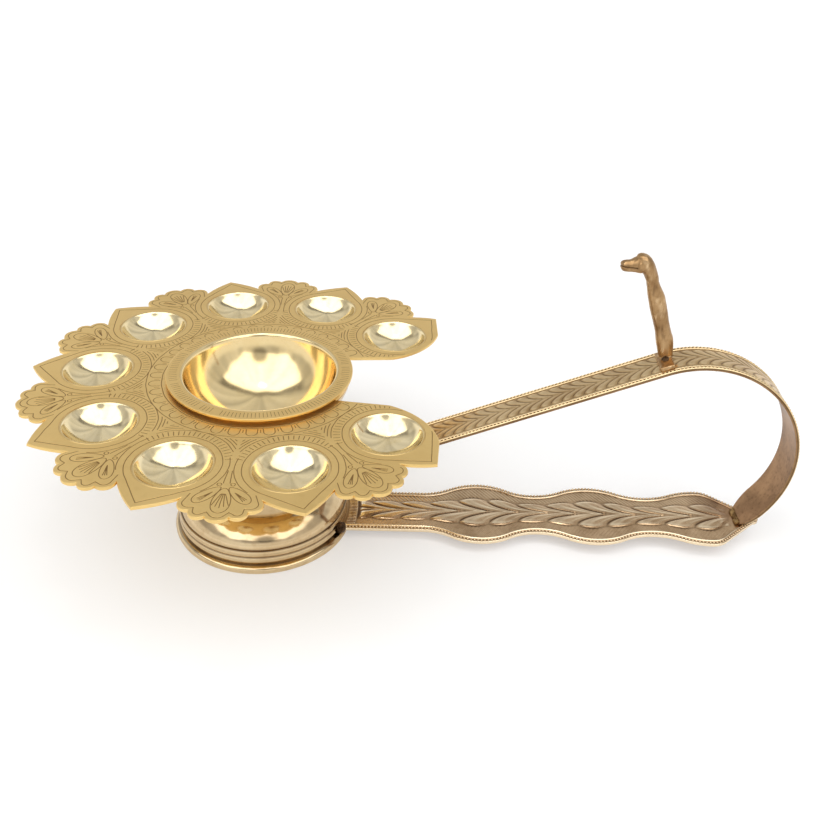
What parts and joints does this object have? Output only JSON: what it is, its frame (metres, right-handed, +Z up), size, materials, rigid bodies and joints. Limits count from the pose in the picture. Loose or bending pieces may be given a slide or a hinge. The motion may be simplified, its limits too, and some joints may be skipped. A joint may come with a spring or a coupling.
{
  "type": "aarti lamp",
  "caption": "Brass aarti lamp: petalled tray of wick cups round a lift-out bowl, on a turned stand with a long looped handle and a serpent thumb rest.",
  "frame": {"origin": "centre of the foot ring, on the plane it stands on", "axes": "+Z up along the stand's axis, +X out along the handle, +Y to the far side of the picture"},
  "size_m": [0.3509, 0.2056, 0.147],
  "materials": {
    "satin_brass": "satin, faintly brushed, with chased lines",
    "polished_brass": "polished",
    "cast_brass": "cast, rose brown with bright worn edges",
    "braze_metal": "dark, rough braze",
    "solder_metal": "dull grey solder"
  },
  "bodies": {
    "lamp": {"tray": "satin_brass", "pedestal": "polished_brass", "grip": "cast_brass", "strap": "cast_brass", "finial": "cast_brass", "grip_braze": "braze_metal", "strap_root_braze": "braze_metal", "strap_heel_braze": "braze_metal", "finial_braze": "braze_metal", "tray_solder": "solder_metal"},
    "bowl": {"bowl": "polished_brass"}
  },
  "joints": [
    {"name": "bowl_lift", "type": "slide", "parent": "lamp", "child": "bowl", "axis": [0, 0, 1], "range_m": [0, 0.04]}
  ]
}
